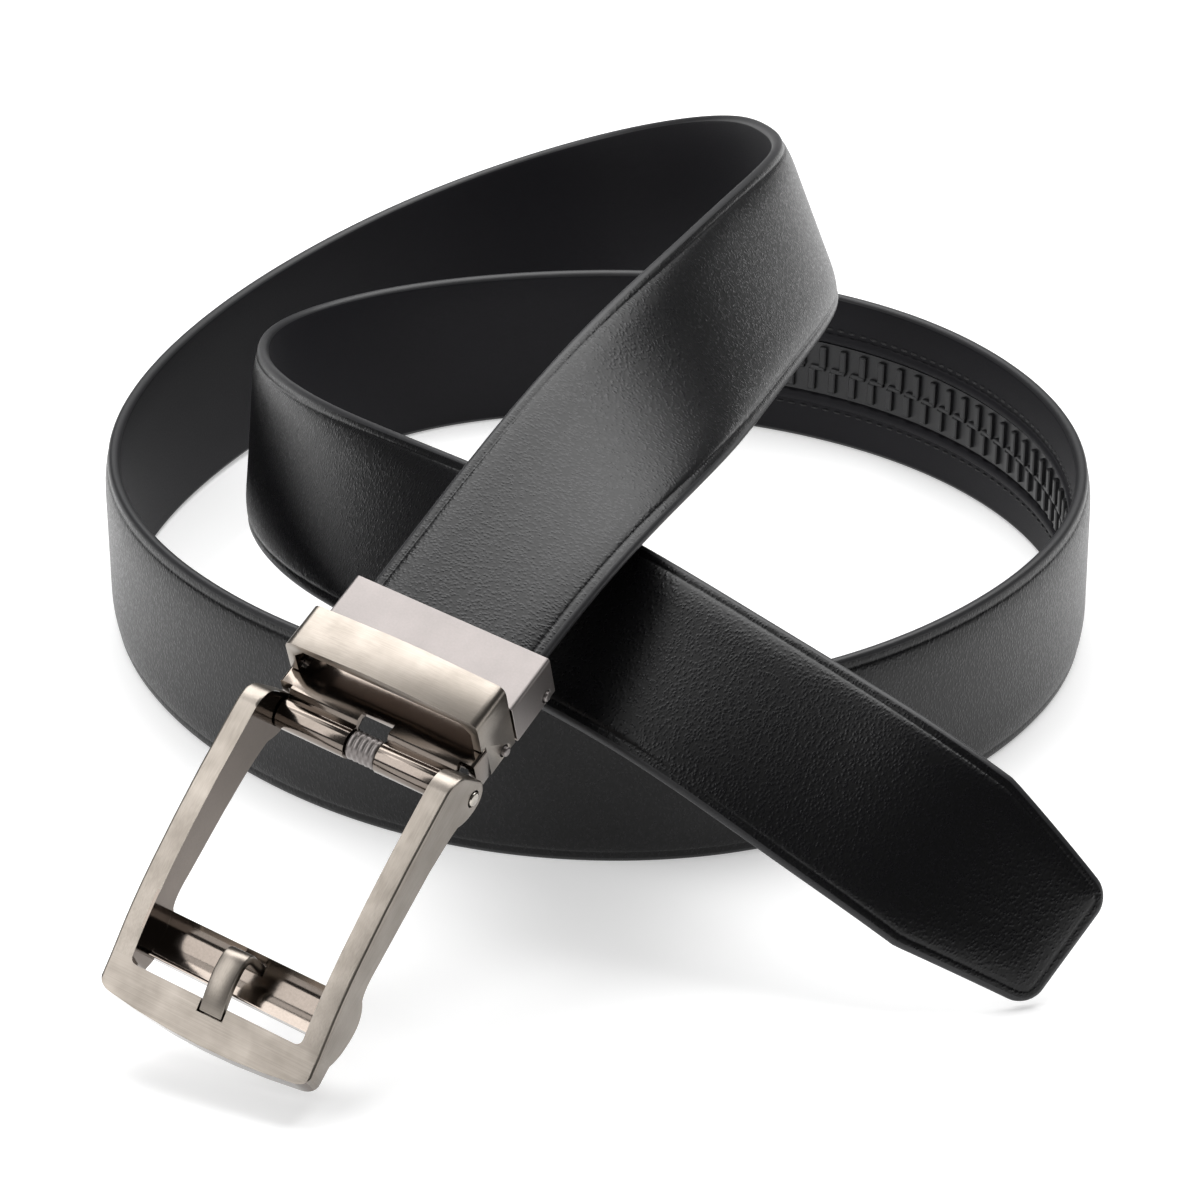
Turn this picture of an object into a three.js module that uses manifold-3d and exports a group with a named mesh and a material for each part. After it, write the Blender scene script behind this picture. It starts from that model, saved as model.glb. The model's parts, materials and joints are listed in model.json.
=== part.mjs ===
// Ratchet belt, lying in loose loops: a leather strap standing on its edge, its tapered end
// crossing over the near loop, and a hinged metal buckle on the other end.
// Millimetres, +Z up. The origin lies on the resting surface, under the middle of the belt.
import * as THREE from "three";
import { NURBSCurve } from "three/addons/curves/NURBSCurve.js";
import { mergeVertices } from "three/addons/utils/BufferGeometryUtils.js";
import Module from "manifold-3d";

const wasm = await Module();
wasm.setup();

// Strap
const STRAP_WIDTH = 35;
const STRAP_THICKNESS = 3.4;
const EDGE_ROUNDING = 1.4;
const FACE_CROWN = 0.25;
const LOOP_REACH = 100;
const TIP_WIDTH = 24;
const TIP_SHOULDER = 26;
const TIP_CORNER = 4;
const TIP_THINNING = 0.6;
const STRAP_IN_CLAMP = 12;
const SAMPLES_PER_ROW = 4.6;

// Ratchet track on the strap's inner face
const TRACK_WIDTH = 12;
const TRACK_BASE = 0.7;
const TRACK_START = 808;
const TRACK_LENGTH = 180;
const TOOTH_PITCH = 5.4;
const TOOTH_LENGTH = 2.4;
const TOOTH_HEIGHT = 0.8;
const TOOTH_ROW_GAP = 0.8;
const FIRST_TOOTH = 0.8;
const TRACK_STEP = 8;
const CHANNEL_DEPTH = 0.8;

// Clearance that neighbouring pieces keep, and how far cuts and joined pieces run past a face
const GAP = 0.3;
const CUT_PAST = 1;

// Clamp: a sheet folded over the strap's end
const SHEET = 1.4;
const CLAMP_LENGTH = 11.9;
const CLAMP_TONGUE = 2.7;
const WALL_DROP = 5.5;
const FOLD_ROUNDING = 0.7;
const JAW_THICKNESS = 1.6;
const JAW_LENGTH = 7.5;
const PIN_RADIUS = 0.9;
const PIN_PROUD = 0.5;
const CLAMP_PIN_BACK = 2.6;
const PIN_DEPTH = 4.0;

// Keeper loop: the bar that the free end passes under
const KEEPER_LENGTH = 8.8;
const KEEPER_BAR = 2.0;
const KEEPER_CROWN = 0.7;
const KEEPER_CHAMFER = 1.9;
const LOOP_CLEAR_HEIGHT = 4.9;
const LOOP_CHAMFER = 2;
const KEEPER_LEG = 1.6;
const KEEPER_LEG_CUT = 1.3;
const HOUSING_PIN_BACK = 3.2;

// Base plate with its hinge
const PLATE = 1.6;
const PLATE_DROP = 1.4;
const PLATE_UNDER_KEEPER = 5.4;
const WING_LENGTH = 3.9;
const WING_DROP = 4.6;
const HINGE_FROM_KEEPER = 6.5;
const HINGE_DEPTH = 1.4;
const BARREL_RADIUS = 2.8;
const BARREL_SIDES = 24;
const BARREL_GROOVE = 0.7;
const PLATE_LIP = 0.45;
const HINGE_PIN_RADIUS = 1.3;
const HINGE_PIN_PROUD = 0.4;
const NOTCH_WIDTH = 6.2;
const NOTCH_FRONT = 1.7;
const ROLLER_RADIUS = 2.6;
const ROLLER_RIB = 0.2;
const ROLLER_RIBS = 5;
const ROLLER_SIDES = 16;

// Frame
const FRAME_FOLD = 16.5;
const FRAME_WIDTH = 42.4;
const FRAME_LENGTH = 54.6;
const RAIL = 4.1;
const END_BAR = 5.2;
const END_BOW = 1.8;
const CORNER = 2.6;
const WINDOW_CORNER = 1.4;
const EAR_RADIUS = 3.3;
const FRAME_RISE = 9.2;
const FRAME_CHAMFER = 0.6;
const CROSS_BAR_FROM_END = 8.2;
const CROSS_BAR_LENGTH = 8.2;
const CROSS_BAR_DISH = 1.8;
const PRONG_WIDTH = 4.5;
const PRONG_THICKNESS = 1.6;
const PRONG_SEAT = 2.2;
const PRONG_SOCKET = 0.8;
const PRONG_CHAMFER = 0.3;

// Heights on the frame as shares of FRAME_RISE, and places on the cross bar as shares of its length
const SEAT_FLOOR = 0.04;
const PRONG_TOP = 0.56;
const BAR_EDGE = 0.12;
const BAR_UNDERSIDE = 0.52;
const BAR_DIP = 0.45;
const BAR_FAR_EDGE = 0.4;
const PRONG_FOOT = 0.35;

// What follows from the sizes above
const HALF = STRAP_THICKNESS / 2;
const CLAMP_INSIDE = STRAP_WIDTH / 2 + 2 * GAP;
const CLAMP_HALF = CLAMP_INSIDE + SHEET;
const CLAMP_UNDER = HALF + GAP;
const CLAMP_TOP = CLAMP_UNDER + SHEET;
const KEEPER_BACK = -CLAMP_LENGTH - GAP;
const KEEPER_FRONT = KEEPER_BACK - KEEPER_LENGTH;
const KEEPER_UNDER = CLAMP_TOP + LOOP_CLEAR_HEIGHT;
const KEEPER_TOP = KEEPER_UNDER + KEEPER_BAR;
const KEEPER_HALF = CLAMP_HALF - GAP;
const KEEPER_INSIDE = KEEPER_HALF - KEEPER_LEG;
const PLATE_TOP = CLAMP_TOP - PLATE_DROP;
const HINGE_Y = KEEPER_FRONT - HINGE_FROM_KEEPER;
const HINGE_Z = -HINGE_DEPTH;
const EAR_INSIDE = FRAME_WIDTH / 2 - RAIL;

// The strap's lie, from the clamp to the tip. Each row draws the centre line towards a place, as a
// pin draws a springy lath. x and y are shares of LOOP_REACH, rise is the height of the centre line
// as a share of STRAP_WIDTH (half of it where the strap stands on its edge), and lean tips the upper
// edge outward, in degrees.
const LIE = [
  { x: -0.245, y: -1.41, rise: 1.71, lean: -79 },
  { x: -0.12, y: -1.235, rise: 2.01, lean: -79 },
  { x: 0.04, y: -0.97, rise: 2.24, lean: -65 },
  { x: 0.205, y: -0.525, rise: 2.23, lean: -37 },
  { x: 0.34, y: -0.04, rise: 2.11, lean: -33 },
  { x: 0.455, y: 0.43, rise: 1.93, lean: -22 },
  { x: 0.415, y: 0.88, rise: 1.63, lean: -16 },
  { x: 0.32, y: 1.31, rise: 1.3, lean: -7 },
  { x: 0.03, y: 1.54, rise: 0.94, lean: 6 },
  { x: -0.355, y: 1.44, rise: 0.66, lean: 16 },
  { x: -0.69, y: 1.07, rise: 0.52, lean: 10 },
  { x: -0.92, y: 0.585, rise: 0.5, lean: 3 },
  { x: -1.025, y: 0.05, rise: 0.5, lean: 0 },
  { x: -0.91, y: -0.445, rise: 0.5, lean: 1 },
  { x: -0.62, y: -0.87, rise: 0.5, lean: -2 },
  { x: -0.21, y: -1.145, rise: 0.5, lean: 0 },
  { x: 0.27, y: -1.15, rise: 0.5, lean: 0 },
  { x: 0.665, y: -0.855, rise: 0.5, lean: 0 },
  { x: 0.925, y: -0.445, rise: 0.5, lean: 0 },
  { x: 1.0, y: 0.005, rise: 0.5, lean: 0 },
  { x: 0.9, y: 0.44, rise: 0.5, lean: 0 },
  { x: 0.66, y: 0.79, rise: 0.5, lean: 3 },
  { x: 0.315, y: 1.0, rise: 0.5, lean: 2 },
  { x: -0.055, y: 1.045, rise: 0.5, lean: -2 },
  { x: -0.415, y: 0.955, rise: 0.5, lean: 0 },
  { x: -0.66, y: 0.74, rise: 0.5, lean: 16 },
  { x: -0.74, y: 0.355, rise: 0.71, lean: -4 },
  { x: -0.68, y: -0.055, rise: 0.98, lean: -10 },
  { x: -0.56, y: -0.46, rise: 1.24, lean: -18 },
  { x: -0.37, y: -0.82, rise: 1.44, lean: -32 },
  { x: -0.13, y: -1.125, rise: 1.53, lean: -48 },
  { x: 0.13, y: -1.34, rise: 1.36, lean: -60 },
  { x: 0.38, y: -1.49, rise: 1.035, lean: -48 },
  { x: 0.605, y: -1.62, rise: 0.73, lean: -33 },
  { x: 0.8, y: -1.615, rise: 0.23, lean: -24 },
];

// A springy curve of degree three, drawn towards every row and held at the first and the last.
function lath(points) {
  const spans = points.length - 3;
  const knots = [0, 0, 0];
  for (let i = 0; i <= spans; i++) knots.push(i / spans);
  knots.push(1, 1, 1);
  return new NURBSCurve(3, knots, points.map((p) => new THREE.Vector4(p.x, p.y, p.z, 1)));
}
const centreLath = lath(
  LIE.map((row) => new THREE.Vector3(row.x * LOOP_REACH, row.y * LOOP_REACH, row.rise * STRAP_WIDTH)),
);
const leanLath = lath(LIE.map((row) => new THREE.Vector3(row.lean, 0, 0)));

// Stations along the strap: place, direction along, direction across towards the upper edge, and
// outward direction, with the length from the clamp's mouth.
function strapStations() {
  const count = Math.round(LIE.length * SAMPLES_PER_ROW);
  const list = [];
  let length = 0;
  for (let i = 0; i <= count; i++) {
    const u = i / count;
    const at = centreLath.getPoint(u);
    const along = centreLath.getTangent(u).normalize();
    const lean = THREE.MathUtils.degToRad(leanLath.getPoint(u).x);
    const side = new THREE.Vector3(along.y, -along.x, 0).normalize();
    const across = new THREE.Vector3().crossVectors(side, along);
    across.multiplyScalar(Math.cos(lean)).addScaledVector(side, Math.sin(lean));
    const outward = new THREE.Vector3().crossVectors(along, across);
    if (i > 0) length += at.distanceTo(list[i - 1].at);
    list.push({ at, along, across, outward, length });
  }
  return list;
}
const stations = strapStations();
const mouth = stations[0];
const strapLength = stations[stations.length - 1].length;

// The station at any length along the strap, straight on before the clamp's mouth.
function stationAt(length) {
  if (length <= 0) return { ...mouth, at: mouth.at.clone().addScaledVector(mouth.along, length), length };
  const after = Math.max(1, stations.findIndex((s) => s.length >= length));
  const a = stations[after - 1];
  const b = stations[after];
  const share = (length - a.length) / (b.length - a.length);
  const mix = (key) => a[key].clone().lerp(b[key], share);
  return {
    at: mix("at"),
    along: mix("along").normalize(),
    across: mix("across").normalize(),
    outward: mix("outward").normalize(),
    length,
  };
}

// Solids and geometries

function solidOf(geometry) {
  const bare = geometry.index ? geometry.toNonIndexed() : geometry.clone();
  bare.deleteAttribute("normal");
  bare.deleteAttribute("uv");
  const merged = mergeVertices(bare, 1e-4);
  return new wasm.Manifold(
    new wasm.Mesh({
      numProp: 3,
      vertProperties: merged.attributes.position.array,
      triVerts: new Uint32Array(merged.index.array),
    }),
  );
}

function geometryOf(solid) {
  const mesh = solid.getMesh();
  const positions = new Float32Array(mesh.numVert * 3);
  for (let i = 0; i < mesh.numVert; i++) {
    positions.set(mesh.vertProperties.subarray(i * mesh.numProp, i * mesh.numProp + 3), i * 3);
  }
  const geometry = new THREE.BufferGeometry();
  geometry.setAttribute("position", new THREE.BufferAttribute(positions, 3));
  geometry.setIndex(new THREE.BufferAttribute(mesh.triVerts, 1));
  geometry.computeVertexNormals();
  return geometry;
}

// A closed skin over rings of points; each ring runs anticlockwise seen against the direction along.
function loft(rings) {
  const size = rings[0].length;
  const positions = rings.flat().flatMap((p) => [p.x, p.y, p.z]);
  const index = [];
  for (let r = 0; r + 1 < rings.length; r++) {
    for (let k = 0; k < size; k++) {
      const next = (k + 1) % size;
      const a = r * size + k;
      const b = r * size + next;
      index.push(a, b, b + size, a, b + size, a + size);
    }
  }
  for (const [ring, first] of [[rings[0], true], [rings[rings.length - 1], false]]) {
    const middle = new THREE.Vector3();
    ring.forEach((p) => middle.addScaledVector(p, 1 / size));
    const centre = positions.length / 3;
    positions.push(middle.x, middle.y, middle.z);
    const start = first ? 0 : (rings.length - 1) * size;
    for (let k = 0; k < size; k++) {
      const next = (k + 1) % size;
      if (first) index.push(centre, start + next, start + k);
      else index.push(centre, start + k, start + next);
    }
  }
  const geometry = new THREE.BufferGeometry();
  geometry.setAttribute("position", new THREE.Float32BufferAttribute(positions, 3));
  geometry.setIndex(index);
  return geometry;
}

// A section point of the strap: u across towards the upper edge, v outward.
function onStrap(station, u, v) {
  return station.at.clone().addScaledVector(station.across, u).addScaledVector(station.outward, v);
}

function box(width, length, height, x, y, z) {
  return solidOf(new THREE.BoxGeometry(width, length, height).translate(x, y, z));
}

// A round bar across the buckle, between two places in x.
function crossRod(radius, x0, x1, y, z, sides = 16) {
  const rod = new THREE.CylinderGeometry(radius, radius, x1 - x0, sides);
  rod.rotateZ(-Math.PI / 2).translate((x0 + x1) / 2, y, z);
  return solidOf(rod);
}

// A profile drawn in y and z, drawn out across the buckle from x0 to x1.
function acrossBuckle(profile, x0, x1, chamfer = 0) {
  const solid = new THREE.ExtrudeGeometry(profile, {
    depth: x1 - x0 - 2 * chamfer,
    bevelEnabled: chamfer > 0,
    bevelThickness: chamfer,
    bevelSize: chamfer,
    bevelOffset: -chamfer,
    bevelSegments: 2,
    curveSegments: 10,
  });
  solid.applyMatrix4(new THREE.Matrix4().makeBasis(
    new THREE.Vector3(0, 1, 0), new THREE.Vector3(0, 0, 1), new THREE.Vector3(1, 0, 0)));
  return solidOf(solid.translate(x0 + chamfer, 0, 0));
}

// A profile drawn in x and z, drawn out along the buckle from y0 to y1.
function alongBuckle(profile, y0, y1) {
  const depth = y1 - y0;
  const solid = new THREE.ExtrudeGeometry(profile, { depth, bevelEnabled: false, curveSegments: 10 });
  solid.rotateX(Math.PI / 2);
  return solidOf(solid.translate(0, y1, 0));
}

function polygon(points) {
  return new THREE.Shape(points.map(([a, b]) => new THREE.Vector2(a, b)));
}

// Strap

// Half of the strap's width at a distance before its tip: full, then shoulders, then round corners.
function halfWidth(fromTip) {
  const full = STRAP_WIDTH / 2;
  const blunt = TIP_WIDTH / 2;
  if (fromTip >= TIP_SHOULDER) return full;
  const share = fromTip / TIP_SHOULDER;
  const shoulder = blunt + (full - blunt) * share;
  if (fromTip >= TIP_CORNER) return shoulder;
  const inCorner = TIP_CORNER - fromTip;
  return shoulder - TIP_CORNER + Math.sqrt(TIP_CORNER ** 2 - inCorner ** 2);
}

function strapRing(station, thinning = 1) {
  const half = halfWidth(strapLength - station.length);
  const flat = half - EDGE_ROUNDING;
  const ring = [];
  const outerSteps = 6;
  for (let k = 0; k <= outerSteps; k++) {
    const share = 1 - (2 * k) / outerSteps;
    ring.push([flat * share, HALF - FACE_CROWN * share ** 4]);
  }
  for (const angle of [135, 180, 225]) ring.push(edgePoint(-flat, angle));
  for (const share of [-1, 0, 1]) ring.push([flat * share, -HALF + FACE_CROWN * Math.abs(share)]);
  for (const angle of [-45, 0, 45]) ring.push(edgePoint(flat, angle));
  return ring.map(([u, v]) => onStrap(station, u, v * thinning));
}

function edgePoint(at, degrees) {
  const angle = THREE.MathUtils.degToRad(degrees);
  return [at + EDGE_ROUNDING * Math.cos(angle), (HALF - FACE_CROWN) * Math.sin(angle)];
}

function buildStrap() {
  const beforeTip = strapLength - TIP_SHOULDER - TIP_CORNER;
  const lengths = [-STRAP_IN_CLAMP, ...stations.map((s) => s.length).filter((l) => l < beforeTip)];
  for (const share of [1, 0.75, 0.4]) lengths.push(strapLength - TIP_SHOULDER * share);
  for (const share of [1, 0.55, 0.25, 0.08]) lengths.push(strapLength - TIP_CORNER * share);
  const rings = lengths.map((length) => strapRing(stationAt(length)));
  rings.push(strapRing(stationAt(strapLength), TIP_THINNING));
  return solidOf(loft(rings)).subtract(trackRibbon(-HALF - CUT_PAST, -HALF + CHANNEL_DEPTH, GAP));
}

// A band along the strap's inner face, from v0 to v1 in thickness, as wide and long as the track
// with a clearance all round.
function trackRibbon(v0, v1, clearance) {
  const half = TRACK_WIDTH / 2 + clearance;
  const start = TRACK_START - clearance;
  const end = TRACK_START + TRACK_LENGTH + clearance;
  const steps = Math.round(TRACK_LENGTH / TRACK_STEP);
  const rings = [];
  for (let k = 0; k <= steps; k++) {
    const station = stationAt(start + ((end - start) * k) / steps);
    rings.push([[half, v1], [-half, v1], [-half, v0], [half, v0]].map(([u, v]) => onStrap(station, u, v)));
  }
  return solidOf(loft(rings));
}

// Two rows of teeth, one row half a pitch behind the other, on a thin moulded base.
function buildTrack() {
  const baseTop = -HALF + CHANNEL_DEPTH - GAP;
  let track = trackRibbon(baseTop - TRACK_BASE, baseTop, 0);
  const toothWidth = (TRACK_WIDTH - 3 * TOOTH_ROW_GAP) / 2;
  const pairs = Math.floor(TRACK_LENGTH / TOOTH_PITCH) - 1;
  const sunk = TRACK_BASE / 2;
  for (let k = 0; k < 2 * pairs; k++) {
    const row = k % 2 === 0 ? 1 : -1;
    const station = stationAt(TRACK_START + (k / 2 + FIRST_TOOTH) * TOOTH_PITCH);
    const tooth = new THREE.BoxGeometry(TOOTH_LENGTH, toothWidth, TOOTH_HEIGHT + sunk);
    tooth.applyMatrix4(
      new THREE.Matrix4().makeBasis(station.along, station.across, station.outward).setPosition(
        onStrap(
          station,
          (row * (toothWidth + TOOTH_ROW_GAP)) / 2,
          baseTop - TRACK_BASE - (TOOTH_HEIGHT - sunk) / 2,
        ),
      ),
    );
    track = track.add(solidOf(tooth));
  }
  return track;
}

// Buckle pieces, drawn with x across, y towards the strap and z outward; y is 0 at the clamp's mouth.

function foldedSheet(half, inside, top, under, bottom) {
  const shape = new THREE.Shape();
  shape.moveTo(-half, bottom);
  shape.lineTo(-inside, bottom);
  shape.lineTo(-inside, under);
  shape.lineTo(inside, under);
  shape.lineTo(inside, bottom);
  shape.lineTo(half, bottom);
  shape.lineTo(half, top - FOLD_ROUNDING);
  shape.quadraticCurveTo(half, top, half - FOLD_ROUNDING, top);
  shape.lineTo(-half + FOLD_ROUNDING, top);
  shape.quadraticCurveTo(-half, top, -half, top - FOLD_ROUNDING);
  return shape;
}

function buildClamp() {
  const sheet = foldedSheet(CLAMP_HALF, CLAMP_INSIDE, CLAMP_TOP, CLAMP_UNDER, -WALL_DROP);
  const tongue = box(
    2 * (KEEPER_INSIDE - GAP),
    CLAMP_TONGUE + CUT_PAST,
    SHEET,
    0,
    -CLAMP_LENGTH - (CLAMP_TONGUE - CUT_PAST) / 2,
    CLAMP_TOP - SHEET / 2,
  );
  return alongBuckle(sheet, -CLAMP_LENGTH, 0)
    .add(tongue)
    .subtract(
      crossRod(
        PIN_RADIUS + GAP,
        -CLAMP_HALF - CUT_PAST,
        CLAMP_HALF + CUT_PAST,
        -CLAMP_PIN_BACK,
        -PIN_DEPTH,
      ),
    );
}

function buildJaw() {
  return box(
    2 * (CLAMP_INSIDE - GAP),
    JAW_LENGTH,
    JAW_THICKNESS,
    0,
    -CLAMP_LENGTH + JAW_LENGTH / 2,
    -CLAMP_UNDER - JAW_THICKNESS / 2,
  );
}

function buildPin(back) {
  const reach = CLAMP_HALF + PIN_PROUD;
  return crossRod(PIN_RADIUS, -reach, reach, back, -PIN_DEPTH);
}

function buildKeeper() {
  const shape = new THREE.Shape();
  const half = KEEPER_HALF;
  const inside = KEEPER_INSIDE;
  const shoulder = KEEPER_TOP - KEEPER_CROWN;
  shape.moveTo(-half, -WALL_DROP);
  shape.lineTo(-inside, -WALL_DROP);
  shape.lineTo(-inside, KEEPER_UNDER - LOOP_CHAMFER);
  shape.lineTo(-inside + LOOP_CHAMFER, KEEPER_UNDER);
  shape.lineTo(inside - LOOP_CHAMFER, KEEPER_UNDER);
  shape.lineTo(inside, KEEPER_UNDER - LOOP_CHAMFER);
  shape.lineTo(inside, -WALL_DROP);
  shape.lineTo(half, -WALL_DROP);
  shape.lineTo(half, shoulder - KEEPER_CHAMFER);
  shape.quadraticCurveTo(half, shoulder, half - KEEPER_CHAMFER, shoulder);
  shape.quadraticCurveTo(0, KEEPER_TOP + KEEPER_CROWN, -half + KEEPER_CHAMFER, shoulder);
  shape.quadraticCurveTo(-half, shoulder, -half, shoulder - KEEPER_CHAMFER);
  const legCut = box(
    2 * half + 2 * CUT_PAST,
    2 * KEEPER_LEG_CUT,
    WALL_DROP + PLATE_TOP + GAP + CUT_PAST,
    0,
    KEEPER_FRONT,
    (PLATE_TOP + GAP - WALL_DROP - CUT_PAST) / 2,
  );
  return alongBuckle(shape, KEEPER_FRONT, KEEPER_BACK)
    .subtract(legCut)
    .subtract(
      crossRod(
        PIN_RADIUS + GAP,
        -half - CUT_PAST,
        half + CUT_PAST,
        KEEPER_BACK - HOUSING_PIN_BACK,
        -PIN_DEPTH,
      ),
    );
}

function buildBasePlate() {
  const wingBack = KEEPER_FRONT + KEEPER_LEG_CUT - GAP;
  const wingFront = wingBack - WING_LENGTH;
  const plateBack = KEEPER_FRONT + PLATE_UNDER_KEEPER;
  const barrelHalf = EAR_INSIDE - GAP;
  const under = PLATE_TOP - PLATE;
  const groove = HINGE_Y + BARREL_RADIUS * BARREL_GROOVE;
  const grooveDepth = HINGE_Z + BARREL_RADIUS * Math.sqrt(1 - BARREL_GROOVE ** 2);
  const lip = groove + PLATE_LIP;
  const slope = polygon([
    [plateBack, under],
    [plateBack, PLATE_TOP],
    [lip + PLATE_LIP, PLATE_TOP],
    [lip, PLATE_TOP - PLATE_LIP],
    [groove, grooveDepth],
    [HINGE_Y, HINGE_Z],
    [wingFront, under],
  ]);
  const narrow = Math.min(KEEPER_INSIDE - GAP, barrelHalf);
  const wings = alongBuckle(
    foldedSheet(CLAMP_HALF, CLAMP_INSIDE, PLATE_TOP, under, -WING_DROP),
    wingFront,
    wingBack,
  );
  const notchBack = KEEPER_FRONT - NOTCH_FRONT;
  const notchLength = notchBack - (HINGE_Y - BARREL_RADIUS - CUT_PAST);
  const notchHeight = 2 * (BARREL_RADIUS + HINGE_DEPTH + CUT_PAST);
  const notch = box(NOTCH_WIDTH, notchLength, notchHeight, 0, notchBack - notchLength / 2, 0);
  return acrossBuckle(slope, -narrow, narrow)
    .add(wings)
    .add(crossRod(BARREL_RADIUS, -barrelHalf, barrelHalf, HINGE_Y, HINGE_Z, BARREL_SIDES))
    .subtract(notch)
    .subtract(
      crossRod(HINGE_PIN_RADIUS + GAP, -barrelHalf - CUT_PAST, barrelHalf + CUT_PAST, HINGE_Y, HINGE_Z),
    );
}

function buildHingePin() {
  const reach = FRAME_WIDTH / 2 + HINGE_PIN_PROUD;
  return crossRod(HINGE_PIN_RADIUS, -reach, reach, HINGE_Y, HINGE_Z);
}

// A ribbed roller: its profile steps in and out along the pin, and each rib's top is two fifths of
// the way from one groove to the next.
function buildRoller() {
  const half = NOTCH_WIDTH / 2 - GAP;
  const bore = HINGE_PIN_RADIUS + GAP;
  const pitch = (2 * half) / ROLLER_RIBS;
  const points = [new THREE.Vector2(bore, -half)];
  for (let k = 0; k < ROLLER_RIBS; k++) {
    const groove = -half + pitch * k;
    points.push(new THREE.Vector2(ROLLER_RADIUS - ROLLER_RIB, groove));
    points.push(new THREE.Vector2(ROLLER_RADIUS, groove + pitch * 0.3));
    points.push(new THREE.Vector2(ROLLER_RADIUS, groove + pitch * 0.7));
  }
  points.push(new THREE.Vector2(ROLLER_RADIUS - ROLLER_RIB, half));
  points.push(new THREE.Vector2(bore, half));
  points.push(points[0].clone());
  const roller = new THREE.LatheGeometry(points, ROLLER_SIDES);
  return solidOf(roller.rotateZ(-Math.PI / 2).translate(0, HINGE_Y, HINGE_Z));
}

// Frame pieces, drawn about the hinge: x across, y towards the strap, z outward.

// The rails' side profile: an ear round the pin, a face that arches down to the end bar, and an
// underside that dips under the cross bar. Places along are shares of FRAME_LENGTH, heights shares
// of FRAME_RISE.
function railProfile() {
  const l = (share) => -share * FRAME_LENGTH;
  const d = (share) => share * FRAME_RISE;
  const shape = new THREE.Shape();
  shape.moveTo(EAR_RADIUS, 0);
  shape.lineTo(EAR_RADIUS * 0.4, d(0.7));
  shape.quadraticCurveTo(EAR_RADIUS * 0.1, d(1), l(0.06), d(1.02));
  shape.bezierCurveTo(l(0.3), d(1.0), l(0.62), d(0.82), l(0.8), d(0.5));
  shape.bezierCurveTo(l(0.87), d(0.36), l(0.95), d(0.2), l(1.04), d(0.1));
  shape.lineTo(l(1.04), d(-0.33));
  shape.lineTo(l(0.91), d(-0.3));
  shape.quadraticCurveTo(l(0.86), d(-0.56), l(0.78), d(-0.54));
  shape.quadraticCurveTo(l(0.72), d(-0.5), l(0.69), d(-0.14));
  shape.quadraticCurveTo(l(0.66), d(0.02), l(0.58), d(0));
  shape.bezierCurveTo(l(0.4), d(0.04), l(0.2), d(0.1), l(0.1), d(-0.08));
  shape.quadraticCurveTo(l(0.06), d(-0.34), 0, -EAR_RADIUS);
  shape.absarc(0, 0, EAR_RADIUS, -Math.PI / 2, 0, false);
  return shape;
}

// The frame seen from its face: two rails, a bowed end bar, and a window open towards the hinge.
function framePlan() {
  const half = FRAME_WIDTH / 2;
  const inside = EAR_INSIDE;
  const end = -FRAME_LENGTH;
  const back = EAR_RADIUS + CUT_PAST;
  const windowEnd = end + END_BAR;
  const cornerEnd = end - END_BOW * 0.25;
  const bowPull = end - END_BOW * 1.75;
  const shape = new THREE.Shape();
  shape.moveTo(-half, back);
  shape.lineTo(-half, end + CORNER);
  shape.quadraticCurveTo(-half, end, -half + CORNER, cornerEnd);
  shape.quadraticCurveTo(0, bowPull, half - CORNER, cornerEnd);
  shape.quadraticCurveTo(half, end, half, end + CORNER);
  shape.lineTo(half, back);
  shape.lineTo(inside, back);
  shape.lineTo(inside, windowEnd + WINDOW_CORNER);
  shape.quadraticCurveTo(inside, windowEnd, inside - WINDOW_CORNER, windowEnd);
  shape.lineTo(-inside + WINDOW_CORNER, windowEnd);
  shape.quadraticCurveTo(-inside, windowEnd, -inside, windowEnd + WINDOW_CORNER);
  shape.lineTo(-inside, back);
  return shape;
}

// The cross bar is a dished plate between the rails, and the prong's foot stands in a socket in it.
const crossBarStart = -FRAME_LENGTH + CROSS_BAR_FROM_END + CROSS_BAR_LENGTH;
const crossBarEdge = -FRAME_RISE * BAR_EDGE;
const prongFoot = crossBarStart - CROSS_BAR_LENGTH * PRONG_FOOT;
const prongBottom = crossBarEdge - CROSS_BAR_DISH - PRONG_SOCKET + GAP;
function crossBarProfile() {
  const bottom = -FRAME_RISE * BAR_UNDERSIDE;
  const shape = new THREE.Shape();
  shape.moveTo(crossBarStart, crossBarEdge);
  shape.quadraticCurveTo(
    crossBarStart - CROSS_BAR_LENGTH * BAR_DIP,
    crossBarEdge - 2 * CROSS_BAR_DISH,
    crossBarStart - CROSS_BAR_LENGTH,
    crossBarEdge - CROSS_BAR_DISH * BAR_FAR_EDGE,
  );
  shape.lineTo(crossBarStart - CROSS_BAR_LENGTH, bottom);
  shape.lineTo(crossBarStart - FRAME_CHAMFER, bottom);
  return shape;
}

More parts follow.
